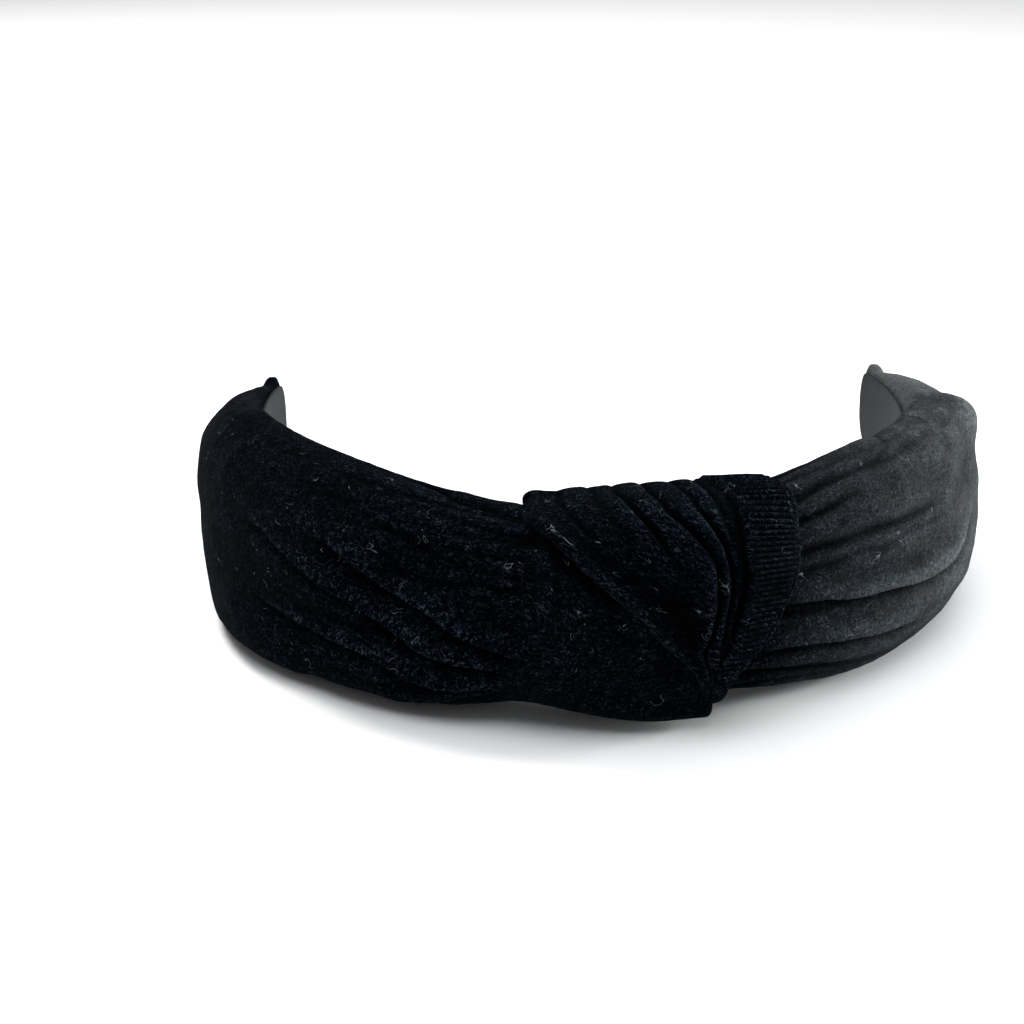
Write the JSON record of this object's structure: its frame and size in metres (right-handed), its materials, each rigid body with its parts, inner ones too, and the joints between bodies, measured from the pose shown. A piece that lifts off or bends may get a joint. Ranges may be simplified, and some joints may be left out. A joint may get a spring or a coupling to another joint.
{
  "type": "knotted headband",
  "caption": "Padded black velvet headband tied in a pleated knot at the crown, with a springy hoop that grips the head.",
  "frame": {"origin": "centre of the bounding box in plan, on the plane that the band lies on when it rests on its side edge", "axes": "the hoop lies in the XY plane, knot towards -Y and open tips towards +Y; +X is across the head; +Z is across the band's width"},
  "size_m": [0.1592, 0.133, 0.0415],
  "materials": {
    "velvet": "stretch velvet, short upright pile with a soft sheen at grazing angles",
    "lining": "flat matt ribbon",
    "core": "moulded, matt",
    "padding": "soft wadding"
  },
  "bodies": {
    "crown": {"core_crown": "core", "lining_crown": "lining", "knot_stuffing": "velvet", "knot_under_wrap": "velvet", "knot_over_wrap": "velvet"},
    "left_arm": {"core_left_arm": "core", "lining_left_arm": "lining", "padding_left": "padding", "velvet_cover_left": "velvet"},
    "right_arm": {"core_right_arm": "core", "lining_right_arm": "lining", "padding_right": "padding", "velvet_cover_right": "velvet"}
  },
  "joints": [
    {"name": "left_flex", "type": "hinge", "parent": "crown", "child": "left_arm", "pos_m": [-0.0224, -0.04003, 0.0205], "axis": [0, 0, 1], "range_deg": [0, 8], "stiffness_Nm_per_rad": 2},
    {"name": "right_flex", "type": "hinge", "parent": "crown", "child": "right_arm", "pos_m": [0.0224, -0.04003, 0.0205], "axis": [0, 0, -1], "range_deg": [0, 8], "stiffness_Nm_per_rad": 2}
  ]
}
